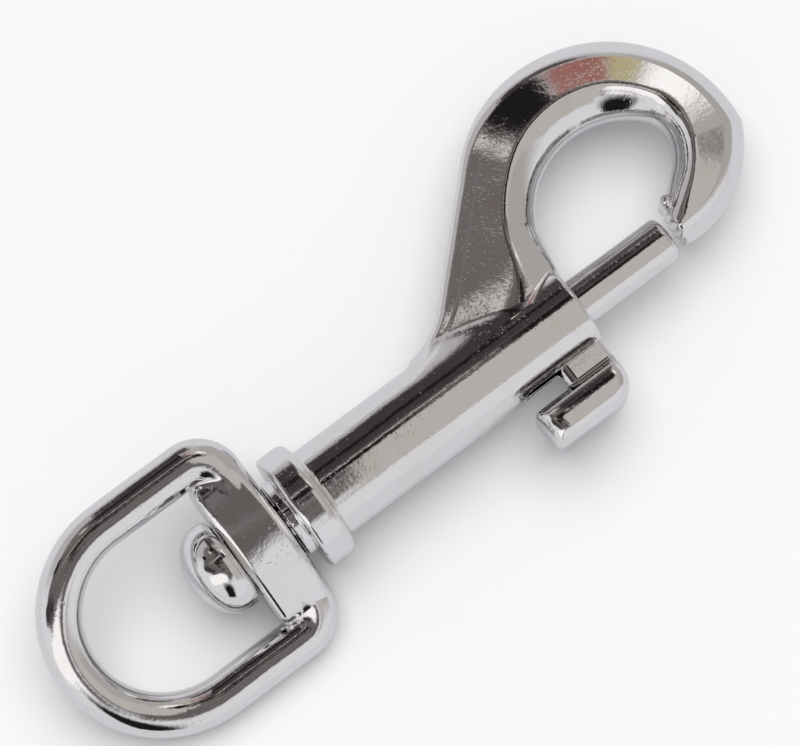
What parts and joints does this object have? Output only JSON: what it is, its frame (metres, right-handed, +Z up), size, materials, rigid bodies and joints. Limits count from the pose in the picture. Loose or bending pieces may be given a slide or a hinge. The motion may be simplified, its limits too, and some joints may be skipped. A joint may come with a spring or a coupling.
{
  "type": "swivel snap hook",
  "caption": "Nickel-plated cast swivel snap hook: open hook closed by a sprung sliding bolt with a thumb lever, on a barrel whose end carries a turning D-shaped eye.",
  "frame": {"origin": "middle of the swivel eye's bow, on the barrel's axis", "axes": "+X along the barrel towards the hook, +Y to the side that the hook swings out to, +Z up, with the hook lying flat"},
  "size_m": [0.0866, 0.0339, 0.0126],
  "materials": {
    "nickel_casting": "bright nickel plate over die-cast zinc",
    "nickel_bolt": "bright nickel plate, smooth",
    "nickel_rivet": "bright nickel plate, domed by heading",
    "spring_wire": "drawn spring steel wire"
  },
  "bodies": {
    "hook": {"hook_body": "nickel_casting", "swivel_rivet": "nickel_rivet", "bolt_spring": "spring_wire"},
    "bolt": {"bolt": "nickel_bolt"},
    "eye": {"swivel_eye": "nickel_casting"}
  },
  "joints": [
    {"name": "bolt_slide", "type": "slide", "parent": "hook", "child": "bolt", "axis": [1, 0, 0], "range_m": [-0.0041, 0], "stiffness_N_per_m": 500, "springref_m": 0.004, "deforming": ["bolt_spring"]},
    {"name": "eye_swivel", "type": "hinge", "parent": "hook", "child": "eye", "pos_m": [0.0112, 0, 0], "axis": [1, 0, 0], "continuous": true}
  ]
}
